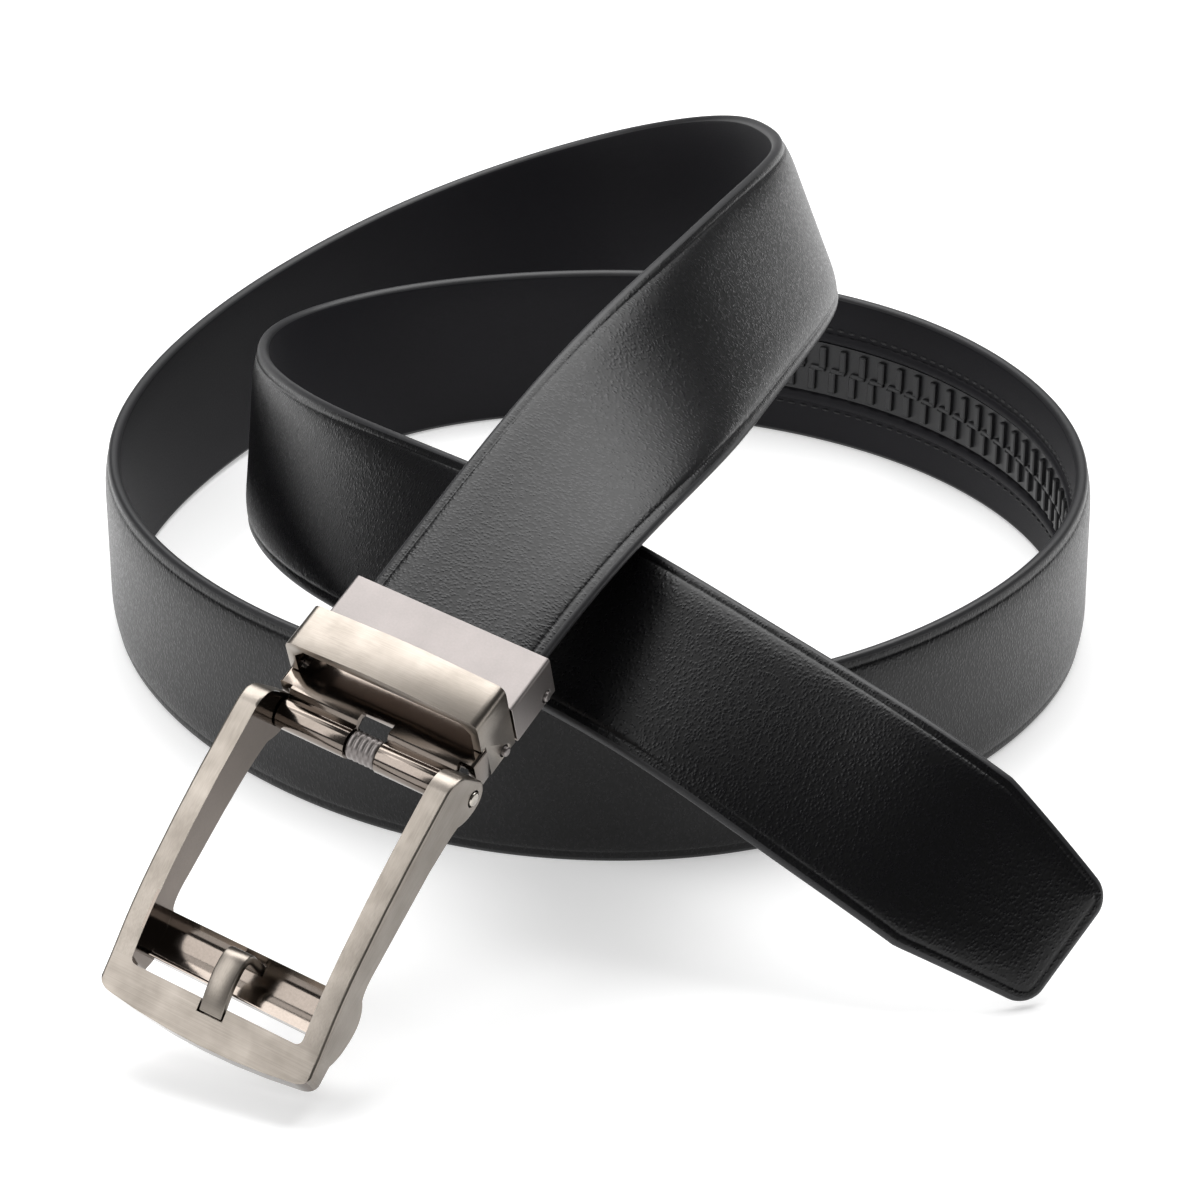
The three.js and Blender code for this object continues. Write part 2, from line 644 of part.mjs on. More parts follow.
function buildFrame() {
  const half = FRAME_WIDTH / 2;
  const barHalf = EAR_INSIDE + FRAME_CHAMFER / 2;
  const planHeight = 4 * FRAME_RISE;
  const plan = new THREE.ExtrudeGeometry(framePlan(), { depth: planHeight, bevelEnabled: false });
  const seat = box(
    PRONG_WIDTH + 2 * GAP,
    PRONG_SEAT + 2 * CUT_PAST,
    2 * FRAME_RISE,
    0,
    -FRAME_LENGTH + END_BAR + CUT_PAST - PRONG_SEAT / 2,
    FRAME_RISE * (1 + SEAT_FLOOR),
  );
  const socket = box(
    PRONG_WIDTH + 2 * GAP,
    PRONG_THICKNESS + 2 * GAP,
    FRAME_RISE,
    0,
    prongFoot + PRONG_THICKNESS / 2,
    prongBottom - GAP + FRAME_RISE / 2,
  );
  return solidOf(plan.translate(0, 0, -planHeight / 2))
    .intersect(acrossBuckle(railProfile(), -half, half, FRAME_CHAMFER))
    .add(acrossBuckle(crossBarProfile(), -barHalf, barHalf))
    .subtract(seat)
    .subtract(socket)
    .subtract(crossRod(HINGE_PIN_RADIUS + GAP, -half - CUT_PAST, half + CUT_PAST, 0, 0));
}

// The short prong: a strip that stands on the cross bar and bends over into the end bar's seat.
function buildProng() {
  const foot = prongFoot;
  const tip = -FRAME_LENGTH + END_BAR - PRONG_SEAT + GAP;
  const tipUnder = FRAME_RISE * SEAT_FLOOR + GAP;
  const top = FRAME_RISE * PRONG_TOP;
  const t = PRONG_THICKNESS;
  const shape = new THREE.Shape();
  shape.moveTo(foot + t, prongBottom);
  shape.lineTo(foot + t, top - 2 * t);
  shape.quadraticCurveTo(foot + t, top, foot - t, top);
  shape.quadraticCurveTo((foot + tip) / 2, top, tip, tipUnder + t);
  shape.lineTo(tip, tipUnder);
  shape.quadraticCurveTo((foot + tip) / 2 - t * 0.3, top - t, foot - t, top - t);
  shape.quadraticCurveTo(foot, top - t, foot, top - 2 * t);
  shape.lineTo(foot, prongBottom);
  return acrossBuckle(shape, -PRONG_WIDTH / 2, PRONG_WIDTH / 2, PRONG_CHAMFER);
}

// Materials

const finishes = {
  leather: { color: "#1c1c1f", roughness: 0.5, metalness: 0 },
  moulded: { color: "#18181a", roughness: 0.45, metalness: 0 },
  satin: { color: "#aca7a4", roughness: 0.4, metalness: 1 },
  brushed: { color: "#a39a8d", roughness: 0.32, metalness: 1 },
  polished: { color: "#6f6864", roughness: 0.14, metalness: 1 },
};

function piece(name, solid, finish) {
  const mesh = new THREE.Mesh(geometryOf(solid), new THREE.MeshStandardMaterial(finishes[finish]));
  mesh.name = name;
  return mesh;
}

// Assembly: the buckle sits on the strap's first station, and the frame swings about the hinge.

const belt = new THREE.Group();
belt.add(piece("leather_strap", buildStrap(), "leather"));
belt.add(piece("ratchet_track", buildTrack(), "moulded"));

const buckle = new THREE.Group();
buckle.applyMatrix4(
  new THREE.Matrix4()
    .makeBasis(mouth.across.clone().negate(), mouth.along, mouth.outward)
    .setPosition(mouth.at),
);
buckle.add(piece("end_clamp", buildClamp(), "satin"));
buckle.add(piece("clamp_jaw", buildJaw(), "polished"));
buckle.add(piece("clamp_pin", buildPin(-CLAMP_PIN_BACK), "satin"));
buckle.add(piece("keeper_loop", buildKeeper(), "brushed"));
buckle.add(piece("housing_pin", buildPin(KEEPER_BACK - HOUSING_PIN_BACK), "satin"));
buckle.add(piece("base_plate", buildBasePlate(), "polished"));
buckle.add(piece("hinge_pin", buildHingePin(), "polished"));
buckle.add(piece("notch_roller", buildRoller(), "satin"));

const swing = new THREE.Group();
swing.position.set(0, HINGE_Y, HINGE_Z);
swing.rotation.x = THREE.MathUtils.degToRad(FRAME_FOLD);
swing.add(piece("frame", buildFrame(), "brushed"));
swing.add(piece("prong", buildProng(), "brushed"));
buckle.add(swing);
belt.add(buckle);

// The origin lies under the middle of the belt's outline, on the surface.
belt.updateMatrixWorld(true);
const outline = new THREE.Box3().setFromObject(belt, true);
const middle = outline.getCenter(new THREE.Vector3());
belt.position.set(-middle.x, -middle.y, -outline.min.z);

export default belt;
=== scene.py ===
# %% [markdown]
# # A ratchet belt in loose loops
# The belt is one long leather strap standing on its edge, with a metal buckle clamped to one end.
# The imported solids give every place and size. This file dresses them: the strap gets its grain,
# painted edges and creases, the track gets its teeth, and the buckle gets its plated metals.

# %% Load the frame
import json
import math

import bmesh
import bpy
import numpy as np
from mathutils import Matrix, Vector


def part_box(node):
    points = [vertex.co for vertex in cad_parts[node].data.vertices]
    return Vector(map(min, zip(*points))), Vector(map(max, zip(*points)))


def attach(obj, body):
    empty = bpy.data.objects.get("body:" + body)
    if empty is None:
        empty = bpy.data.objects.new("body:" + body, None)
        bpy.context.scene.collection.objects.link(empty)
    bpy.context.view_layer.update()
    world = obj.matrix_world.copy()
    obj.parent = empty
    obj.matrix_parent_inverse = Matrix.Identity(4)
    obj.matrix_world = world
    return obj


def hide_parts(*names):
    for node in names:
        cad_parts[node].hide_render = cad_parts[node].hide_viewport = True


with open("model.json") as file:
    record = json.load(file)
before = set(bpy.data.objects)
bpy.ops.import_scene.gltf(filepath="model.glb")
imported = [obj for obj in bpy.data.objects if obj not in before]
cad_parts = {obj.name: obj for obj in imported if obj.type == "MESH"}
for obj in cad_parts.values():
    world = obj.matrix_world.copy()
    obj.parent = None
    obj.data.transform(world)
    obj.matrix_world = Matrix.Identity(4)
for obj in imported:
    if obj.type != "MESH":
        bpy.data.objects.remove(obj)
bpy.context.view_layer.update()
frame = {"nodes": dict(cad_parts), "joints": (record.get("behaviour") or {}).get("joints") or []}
MM = 0.001
scene = bpy.context.scene
print("pieces:", sorted(frame["nodes"]))

# %% [markdown]
# ## How the strap lies
# A belt holds a springy curve between the places where something pins it. The same table that
# shaped the solid is used here: each row draws a smooth curve of degree three towards a place.
# Working from the table, and not from the solid's coarse skin, lets the strap be built again with
# hundreds of sections and with a measured distance along and across it, which the grain needs.

# %% The strap's lie
LOOP_REACH = 100
STRAP_WIDTH = 35
STRAP_THICKNESS = 3.4
LIE = np.array([
    # x, y, rise, lean
    (-0.245, -1.41, 1.71, -79),
    (-0.12, -1.235, 2.01, -79),
    (0.04, -0.97, 2.24, -65),
    (0.205, -0.525, 2.23, -37),
    (0.34, -0.04, 2.11, -33),
    (0.455, 0.43, 1.93, -22),
    (0.415, 0.88, 1.63, -16),
    (0.32, 1.31, 1.3, -7),
    (0.03, 1.54, 0.94, 6),
    (-0.355, 1.44, 0.66, 16),
    (-0.69, 1.07, 0.52, 10),
    (-0.92, 0.585, 0.5, 3),
    (-1.025, 0.05, 0.5, 0),
    (-0.91, -0.445, 0.5, 1),
    (-0.62, -0.87, 0.5, -2),
    (-0.21, -1.145, 0.5, 0),
    (0.27, -1.15, 0.5, 0),
    (0.665, -0.855, 0.5, 0),
    (0.925, -0.445, 0.5, 0),
    (1.0, 0.005, 0.5, 0),
    (0.9, 0.44, 0.5, 0),
    (0.66, 0.79, 0.5, 3),
    (0.315, 1.0, 0.5, 2),
    (-0.055, 1.045, 0.5, -2),
    (-0.415, 0.955, 0.5, 0),
    (-0.66, 0.74, 0.5, 16),
    (-0.74, 0.355, 0.71, -4),
    (-0.68, -0.055, 0.98, -10),
    (-0.56, -0.46, 1.24, -18),
    (-0.37, -0.82, 1.44, -32),
    (-0.13, -1.125, 1.53, -48),
    (0.13, -1.34, 1.36, -60),
    (0.38, -1.49, 1.035, -48),
    (0.605, -1.62, 0.73, -33),
    (0.8, -1.615, 0.23, -24),
])


def lath(rows, u):
    """The curve of degree three that the rows draw, and its slope, at shares u from 0 to 1."""
    degree = 3
    spans = len(rows) - degree
    knots = np.concatenate([[0] * degree, np.linspace(0, 1, spans + 1), [1] * degree])

    def blend(order):
        share = np.array([
            (knots[i] <= u) & ((u < knots[i + 1]) | ((u >= 1) & (knots[i + 1] == 1) & (knots[i] < 1)))
            for i in range(len(knots) - 1)
        ], float)
        for p in range(1, order + 1):
            following = []
            for i in range(len(knots) - 1 - p):
                rise = knots[i + p] - knots[i]
                fall = knots[i + p + 1] - knots[i + 1]
                value = 0
                if rise > 0:
                    value = value + (u - knots[i]) / rise * share[i]
                if fall > 0:
                    value = value + (knots[i + p + 1] - u) / fall * share[i + 1]
                following.append(value if not np.isscalar(value) else np.zeros_like(u))
            share = np.array(following)
        return share

    place = blend(degree).T @ rows
    steps = knots[degree + 1:-1] - knots[1:-degree - 1]
    legs = degree * np.diff(rows, axis=0) / steps[:, None]
    slope = blend(degree - 1)[1:-1].T @ legs
    return place, slope


def unit(v):
    return v / np.linalg.norm(v, axis=-1, keepdims=True)


def strap_stations(lengths=None, samples=4000):
    """Place, along, across and outward directions at lengths from the clamp's mouth, in mm."""
    u = np.linspace(0, 1, samples)
    rows = LIE[:, :3] * [LOOP_REACH, LOOP_REACH, STRAP_WIDTH]
    at, slope = lath(rows, u)
    lean = np.radians(lath(LIE[:, 3:], u)[0][:, 0])
    along = unit(slope)
    side = unit(np.stack([along[:, 1], -along[:, 0], 0 * lean], 1))
    across = np.cos(lean)[:, None] * np.cross(side, along) + np.sin(lean)[:, None] * side
    run = np.concatenate([[0], np.cumsum(np.linalg.norm(np.diff(at, axis=0), axis=1))])
    if lengths is None:
        return run
    mix = lambda values: np.stack([np.interp(lengths, run, values[:, k]) for k in range(3)], 1)
    place, way, wide = mix(at), unit(mix(along)), unit(mix(across))
    before = np.minimum(lengths, 0)[:, None]
    return place + before * way, way, wide, unit(np.cross(way, wide))


strap_length = strap_stations()[-1]
print("strap length from the clamp's mouth:", round(strap_length, 1), "mm")

# %% [markdown]
# ## Camera
# The photo was taken from in front and above, with a long lens. Its place was worked out from the
# strap's edges, whose width and lie on the table are known. The camera is set in the strap's own
# frame, so it has to move with the shift that put the belt's middle at the origin: the strap that
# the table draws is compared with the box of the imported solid.

# %% Camera
CAMERA_DISTANCE = 857
CAMERA_PITCH = math.radians(24.6)
LENS_IN_PICTURE_WIDTHS = 4150 / 1200
SENSOR = 36

box_low, box_high = (np.array(corner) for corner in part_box("leather_strap"))
rough = strap_stations(np.linspace(0, strap_length - 26, 900))
edges = np.concatenate([rough[0] + side * STRAP_WIDTH / 2 * rough[2] for side in (-1, 1)])
SHIFT = np.array([
    (box_low[0] + box_high[0]) / 2 / MM - (edges[:, 0].min() + edges[:, 0].max()) / 2,
    box_high[1] / MM - edges[:, 1].max(),
    0,
])
eye = np.array([0, -math.cos(CAMERA_PITCH), math.sin(CAMERA_PITCH)]) * CAMERA_DISTANCE + SHIFT
camera = bpy.data.objects.new("camera", bpy.data.cameras.new("camera"))
scene.collection.objects.link(camera)
scene.camera = camera
camera.location = Vector(eye * MM)
camera.rotation_euler = (math.pi / 2 - CAMERA_PITCH, 0, 0)
camera.data.sensor_width = SENSOR
camera.data.lens = SENSOR * LENS_IN_PICTURE_WIDTHS
camera.data.clip_start = 0.01
print("shift of the belt in mm:", SHIFT.round(2), "camera at", (eye * MM).round(3))

# %% [markdown]
# ## Colours and nodes
# Colours are read off the photo as screen values, so they're written as hex codes and turned to the
# linear light that the renderer works in. One helper adds a node with its settings and its links.

# %% Colour and node helpers


def linear(hex_colour):
    channels = [int(hex_colour[i:i + 2], 16) / 255 for i in (1, 3, 5)]
    return [c / 12.92 if c <= 0.04045 else ((c + 0.055) / 1.055) ** 2.4 for c in channels] + [1]


def add(material, kind, links=None, **settings):
    """A node with its settings; links gives an input a socket to follow or a value to hold."""
    node = material.node_tree.nodes.new(kind)
    for name, value in settings.items():
        setattr(node, name, value)
    for name, source in (links or {}).items():
        if isinstance(source, bpy.types.NodeSocket):
            material.node_tree.links.new(source, node.inputs[name])
        else:
            node.inputs[name].default_value = source
    return node


def new_material(name, **shader):
    """A material with one Principled shader, whose plain values sit on its own sockets."""
    material = bpy.data.materials.new(name)
    material.use_nodes = True
    material.node_tree.nodes.clear()
    surface = add(material, "ShaderNodeBsdfPrincipled", {k.replace("_", " "): v for k, v in shader.items()})
    add(material, "ShaderNodeOutputMaterial", {"Surface": surface.outputs[0]})
    return material, surface


def connect(material, source, node, name):
    material.node_tree.links.new(source, node.inputs[name])


# %% [markdown]
# ## The leather's grain
# The outer face is cowhide with a fine pebble grain pressed into it and a thin pigmented finish. A
# pressed grain is rows of low round pebbles about 0.7 mm across with narrow valleys between. Cells
# from a Voronoi pattern make such pebbles: the distance to the nearest border is high inside a cell
# and falls to nothing in the valley, and the same pattern colours the valleys near black as painted
# shade. The pattern runs in the strap's own measured coordinates, along and across, so its scale is a
# real size and it doesn't swim where the strap turns. Where the strap bends hard, its face wrinkles
# across the run, so a stretched noise is let in by the bend.

# %% Leather, outer face
GRAIN_PEBBLE = 0.52
GRAIN_HEIGHT = 0.042
WRINKLE_SPACING = 1.0


def grain_leather():
    material, surface = new_material(
        "embossed_cowhide", Metallic=0.0, IOR=1.5, Specular_IOR_Level=0.3)
    place = add(material, "ShaderNodeUVMap", uv_map="mm").outputs["UV"]
    warp = add(material, "ShaderNodeTexNoise", {"Vector": place, "Scale": 1 / (3 * GRAIN_PEBBLE), "Detail": 2})
    shaken = add(material, "ShaderNodeVectorMath", {
        0: warp.outputs["Color"], 1: (0.5, 0.5, 0.5)}, operation="SUBTRACT")
    moved = add(material, "ShaderNodeVectorMath", {
        0: shaken.outputs[0], 1: (1.3 * GRAIN_PEBBLE,) * 3, 2: place}, operation="MULTIPLY_ADD")
    slanted = add(material, "ShaderNodeMapping", {
        "Vector": moved.outputs[0], "Rotation": (0, 0, math.radians(35)),
        "Scale": (1 / GRAIN_PEBBLE, 0.7 / GRAIN_PEBBLE, 1)})
    pebbles = add(material, "ShaderNodeTexVoronoi", {
        "Vector": slanted.outputs[0], "Scale": 1, "Smoothness": 0.35}, feature="SMOOTH_F1")
    round_top = add(material, "ShaderNodeMapRange", {
        "Value": pebbles.outputs["Distance"], "From Min": 0.62, "From Max": 0.08})
    fine = add(material, "ShaderNodeTexNoise", {
        "Vector": place, "Scale": 1 / 0.35, "Detail": 4, "Roughness": 0.6})
    stretch = add(material, "ShaderNodeVectorMath", {
        0: moved.outputs[0], 1: (1 / WRINKLE_SPACING, 1 / (8 * WRINKLE_SPACING), 0)}, operation="MULTIPLY")
    wrinkle = add(material, "ShaderNodeTexNoise", {"Vector": stretch.outputs[0], "Scale": 1, "Detail": 4})
    bend = add(material, "ShaderNodeAttribute", attribute_name="bend")
    wrinkled = add(material, "ShaderNodeMath", {
        0: wrinkle.outputs[0], 1: bend.outputs["Fac"]}, operation="MULTIPLY")
    with_fine = add(material, "ShaderNodeMath", {
        0: fine.outputs[0], 1: 0.5, 2: round_top.outputs[0]}, operation="MULTIPLY_ADD")
    height = add(material, "ShaderNodeMath", {
        0: wrinkled.outputs[0], 1: 0.6, 2: with_fine.outputs[0]}, operation="MULTIPLY_ADD")
    bump = add(material, "ShaderNodeBump", {
        "Height": height.outputs[0], "Distance": GRAIN_HEIGHT * MM, "Strength": 1.0})
    connect(material, bump.outputs[0], surface, "Normal")
    broad = add(material, "ShaderNodeTexNoise", {"Vector": place, "Scale": 1 / 45, "Detail": 3})
    shade = add(material, "ShaderNodeMapRange", {
        "Value": broad.outputs[0], "From Min": 0.3, "From Max": 0.7, "To Min": 0.0, "To Max": 1.0})
    tint = add(material, "ShaderNodeMix", {
        "Factor": shade.outputs[0], "A": linear("#0f0f11"), "B": linear("#131215")}, data_type="RGBA")
    # Painted shade: the valleys between the pebbles are coloured near black, and the pebble tops keep the tint.
    shaded_valleys = add(material, "ShaderNodeMix", {
        "Factor": round_top.outputs[0], "A": linear("#060607"), "B": tint.outputs["Result"]}, data_type="RGBA")
    connect(material, shaded_valleys.outputs["Result"], surface, "Base Color")
    gloss = add(material, "ShaderNodeMapRange", {
        "Value": round_top.outputs[0], "To Min": 0.38, "To Max": 0.23})
    connect(material, gloss.outputs[0], surface, "Roughness")
    return material


# %% [markdown]
# ## Painted edges and lining
# The strap's cut edge is sanded round and painted with several coats of matt acrylic edge paint: dark,
# smooth, with faint waves from the brush. The inner face is a lining of smooth coated split leather,
# matt, with a slight violet cast and hardly any grain.

# %% Edge paint and lining
def edge_paint():
    material, surface = new_material("edge_paint", Metallic=0.0, IOR=1.47, Roughness=0.48)
    place = add(material, "ShaderNodeTexCoord").outputs["Object"]
    waves = add(material, "ShaderNodeTexNoise", {"Vector": place, "Scale": 1 / (2.5 * MM), "Detail": 3})
    bump = add(material, "ShaderNodeBump", {"Height": waves.outputs[0], "Distance": 0.05 * MM})
    connect(material, bump.outputs[0], surface, "Normal")
    colour = add(material, "ShaderNodeMix", {
        "Factor": waves.outputs[0], "A": linear("#1b1b1d"), "B": linear("#252527")}, data_type="RGBA")
    connect(material, colour.outputs["Result"], surface, "Base Color")
    return material


def lining_leather():
    material, surface = new_material(
        "coated_split_lining", Metallic=0.0, IOR=1.48, Specular_IOR_Level=0.24)
    place = add(material, "ShaderNodeUVMap", uv_map="mm").outputs["UV"]
    pores = add(material, "ShaderNodeTexNoise", {"Vector": place, "Scale": 1 / 0.5, "Detail": 4, "Roughness": 0.65})
    drift = add(material, "ShaderNodeTexNoise", {"Vector": place, "Scale": 1 / 30, "Detail": 2})
    bump = add(material, "ShaderNodeBump", {"Height": pores.outputs[0], "Distance": 0.03 * MM, "Strength": 0.8})
    connect(material, bump.outputs[0], surface, "Normal")
    colour = add(material, "ShaderNodeMix", {
        "Factor": drift.outputs[0], "A": linear("#0e0d11"), "B": linear("#131217")}, data_type="RGBA")
    connect(material, colour.outputs["Result"], surface, "Base Color")
    gloss = add(material, "ShaderNodeMapRange", {"Value": pores.outputs[0], "To Min": 0.56, "To Max": 0.72})
    connect(material, gloss.outputs[0], surface, "Roughness")
    return material


leather, paint, lining = grain_leather(), edge_paint(), lining_leather()

# %% [markdown]
# ## Building meshes
# Every skin here is a grid of rings that follow a path, so one helper closes rings into quads, and
# another turns points in mm into an object that rides on a body.

# %% Mesh helpers


def skin(rings, closed=True, first=0):
    """Quads between neighbouring rings of a grid of vertex numbers."""
    count = rings.shape[1]
    following = np.roll(rings, -1, axis=1) if closed else rings[:, 1:]
    here = rings if closed else rings[:, :-1]
    quads = np.stack([here[:-1], following[:-1], following[1:], here[1:]], -1)
    return (quads.reshape(-1, 4) + first).tolist()


def piece(name, points, faces, materials, body, matrix=None, smooth=True):
    """An object from points in mm, in the belt's frame or in that of matrix, riding on a body."""
    mesh = bpy.data.meshes.new(name)
    points = np.asarray(points, float)
    if matrix is not None:
        points = points @ np.array(matrix)[:3, :3].T + np.array(matrix)[:3, 3]
    mesh.from_pydata(((points + SHIFT) * MM).tolist(), [], faces)
    for material in materials:
        mesh.materials.append(material)
    mesh.polygons.foreach_set("use_smooth", [smooth] * len(mesh.polygons))
    thing = bpy.data.objects.new(name, mesh)
    scene.collection.objects.link(thing)
    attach(thing, body)
    return thing


# %% [markdown]
# ## The strap
# A belt strap is an outer leather and a lining glued back to back, cut to width, sanded round at its
# edges and creased: a hot tool draws a line a couple of millimetres inside the edge. Its form only
# depends on how far a point is from the strap's outline, also round the cut end, so a height is
# worked out from that distance and laid over the route.

# %% Strap form
HALF = STRAP_THICKNESS / 2
EDGE_ROUNDING = 1.4
OUTER_CROWN = 0.75
INNER_CROWN = 0.25
CROWN_REACH = 5.5
PADDING = 0.1
CREASE_INSET = 2.1
CREASE_WIDTH = 0.3
CREASE_DEPTH = 0.2
TIP_WIDTH = 24
TIP_SHOULDER = 26
TIP_CORNER = 4
STRAP_IN_CLAMP = 12
STATION_STEP = 1.7
TRACK_WIDTH = 12
TRACK_START = 808
TRACK_LENGTH = 180
CHANNEL_DEPTH = 0.8
INSETS = np.array([0, 0.1, 0.3, 0.6, 0.95, 1.3, 1.6, 1.85, 2.1, 2.35, 2.6, 3.2, 4.2, 5.4, 7, 9, 11.15, 11.3, 14])
FREE_INSETS = INSETS > 2.6


def shoulder_half(from_tip):
    share = np.clip(from_tip / TIP_SHOULDER, 0, 1)
    return TIP_WIDTH / 2 + (STRAP_WIDTH - TIP_WIDTH) / 2 * share


def outline_half(from_tip):
    in_corner = np.clip(TIP_CORNER - from_tip, 0, TIP_CORNER)
    return shoulder_half(from_tip) - TIP_CORNER + np.sqrt(TIP_CORNER ** 2 - in_corner ** 2)


def outline_distance(from_tip, u):
    """How far inside the strap's outline a point lies."""
    half = shoulder_half(from_tip)
    past = np.abs(u) - (half - TIP_CORNER)
    in_corner = (past > 0) & (from_tip < TIP_CORNER)
    round_off = TIP_CORNER - np.hypot(past, TIP_CORNER - from_tip)
    return np.maximum(np.where(in_corner, round_off, np.minimum(half - np.abs(u), from_tip)), 0)


def face_height(distance, top, crown):
    """A quarter round at the edge, then a shoulder that rises by crown to the flat of the face."""
    edge = (top - crown) * np.sqrt(1 - (1 - np.clip(distance / EDGE_ROUNDING, 0, 1)) ** 2)
    return edge + crown * (1 - (1 - np.clip((distance - EDGE_ROUNDING) / CROWN_REACH, 0, 1)) ** 2)


def crease(distance):
    return CREASE_DEPTH * np.exp(-((distance - CREASE_INSET) / CREASE_WIDTH) ** 2)


def build_strap():
    end_steps = np.array([4, 3.4, 2.9, 2.5, 2.1, 1.7, 1.4, 1.1, 0.8, 0.5, 0.3, 0.15, 0.05, 0])
    runs = np.arange(-STRAP_IN_CLAMP, strap_length - end_steps[0] - 0.4, STATION_STEP)
    lengths = np.concatenate([runs, strap_length - end_steps])
    at, way, wide, out = strap_stations(lengths)
    from_tip = strap_length - lengths
    half = outline_half(from_tip)
    last_fixed = INSETS[~FREE_INSETS].max()
    room = (half - last_fixed) / (STRAP_WIDTH / 2 - last_fixed)
    insets = np.where(FREE_INSETS, last_fixed + (INSETS - last_fixed) * room[:, None], INSETS)
    left = half[:, None] - insets
    u = np.concatenate([left, 0 * half[:, None], -left[:, ::-1]], 1)
    distance = outline_distance(from_tip[:, None], u)
    outer = face_height(distance, HALF + PADDING, OUTER_CROWN) - crease(distance)
    inner = -face_height(distance, HALF, INNER_CROWN)
    in_track = (np.abs(u) < TRACK_WIDTH / 2 + 0.25) & (
        np.abs(lengths - TRACK_START - TRACK_LENGTH / 2)[:, None] < TRACK_LENGTH / 2 + 0.3)
    inner = inner + CHANNEL_DEPTH * in_track
    columns = u.shape[1]
    ring_u = np.concatenate([u, u[:, -2:0:-1]], 1)
    ring_v = np.concatenate([outer, inner[:, -2:0:-1]], 1)
    ring_d = np.concatenate([distance, distance[:, -2:0:-1]], 1)
    points = at[:, None] + ring_u[..., None] * wide[:, None] + ring_v[..., None] * out[:, None]
    size = ring_u.shape[1]
    numbers = np.arange(points.shape[0] * size).reshape(-1, size)
    faces = [face[::-1] for face in skin(numbers)]
    faces.append(numbers[0].tolist())
    strap = piece("strap_leather", points.reshape(-1, 3), faces, [leather, paint, lining], "belt")
    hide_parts("leather_strap")
    mesh = strap.data
    loops = np.zeros(len(mesh.loops), int)
    mesh.loops.foreach_get("vertex_index", loops)
    along = np.repeat(lengths, size)
    around = ring_u + np.where(np.arange(size) < columns, 1, -1) * 0
    layer = mesh.uv_layers.new(name="mm")
    layer.data.foreach_set("uv", np.stack([along[loops], around.ravel()[loops]], 1).ravel())
    middle = np.array([np.mean(ring_d.ravel()[list(p.vertices)]) for p in mesh.polygons])
    column = np.array([p.vertices[0] % size for p in mesh.polygons])
    zone = np.where(middle < 0.8, 1, np.where(column < columns, 0, 2))
    mesh.polygons.foreach_set("material_index", zone)
    turn = np.linalg.norm(np.gradient(way, lengths, axis=0), axis=1)
    bend = np.clip((turn - 0.011) / 0.012, 0, 1)
    mesh.attributes.new("bend", "FLOAT", "POINT").data.foreach_set("value", np.repeat(bend, size))
    trim = bmesh.new()
    trim.from_mesh(mesh)
    bmesh.ops.remove_doubles(trim, verts=trim.verts, dist=2e-6)
    bmesh.ops.recalc_face_normals(trim, faces=trim.faces)
    trim.to_mesh(mesh)
    trim.free()
    print("strap faces", len(mesh.polygons), "bend up to", bend.max().round(2))
    return strap


strap = build_strap()

# %% [markdown]
# ## The ratchet track
# The track is a moulded strip sewn between two folded edges of the lining. Its teeth stand in two
# rows, half a pitch apart, and a short bridge joins each tooth to the next one of the other row.
# Each tooth is a small block with its top edges rounded off; one bevelled block is copied along the
# route as joined meshes.

# %% Track
TRACK_BASE = 0.7
TOOTH_PITCH = 5.4
TOOTH_LENGTH = 1.7
TOOTH_REACH = 5.1
TOOTH_HEIGHT = 1.0
BRIDGE = 1.0


def moulded():
    material, surface = new_material("moulded_polyurethane", Metallic=0.0, IOR=1.49)
    place = add(material, "ShaderNodeTexCoord").outputs["Object"]
    texture = add(material, "ShaderNodeTexNoise", {"Vector": place, "Scale": 1 / (0.4 * MM), "Detail": 3})
    bump = add(material, "ShaderNodeBump", {"Height": texture.outputs[0], "Distance": 0.02 * MM})
    connect(material, bump.outputs[0], surface, "Normal")
    colour = add(material, "ShaderNodeMix", {
        "Factor": texture.outputs[0], "A": linear("#151517"), "B": linear("#1e1e20")}, data_type="RGBA")
    connect(material, colour.outputs["Result"], surface, "Base Color")
    gloss = add(material, "ShaderNodeMapRange", {"Value": texture.outputs[0], "To Min": 0.38, "To Max": 0.5})
    connect(material, gloss.outputs[0], surface, "Roughness")
    return material


def on_strap(lengths, u, v):
    at, way, wide, out = strap_stations(np.asarray(lengths, float))
    return at + np.asarray(u)[:, None] * wide + np.asarray(v)[:, None] * out


def block_on_strap(centre, length, u0, u1, v0, v1, soft):
    """A block lying along the strap, its top edges rounded by two rings."""
    rings = []
    for rise, inset in ((0, 0), (1 - soft / abs(v1 - v0), 0), (1, soft)):
        rings.append([
            (centre + x * (length / 2 - inset), (u0 + u1) / 2 + y * ((u1 - u0) / 2 - inset), v0 + (v1 - v0) * rise)
            for x, y in ((-1, -1), (1, -1), (1, 1), (-1, 1))
        ])
    flat = np.array(rings).reshape(-1, 3)
    faces = skin(np.arange(12).reshape(3, 4)) + [[8, 9, 10, 11], [3, 2, 1, 0]]
    return on_strap(flat[:, 0], flat[:, 1], flat[:, 2]), faces


def joined(parts):
    """Points and faces of several parts as one."""
    points, faces, first = [], [], 0
    for part_points, part_faces in parts:
        points.append(part_points)
        faces += [[i + first for i in face] for face in part_faces]
        first += len(part_points)
    return np.concatenate(points), faces


def tidy_normals(thing, crisp=30):
    """Faces turned outward, and edges sharper than crisp degrees left hard."""
    form = bmesh.new()
    form.from_mesh(thing.data)
    bmesh.ops.recalc_face_normals(form, faces=form.faces)
    form.to_mesh(thing.data)
    form.free()
    thing.data.set_sharp_from_angle(angle=math.radians(crisp))
    return thing


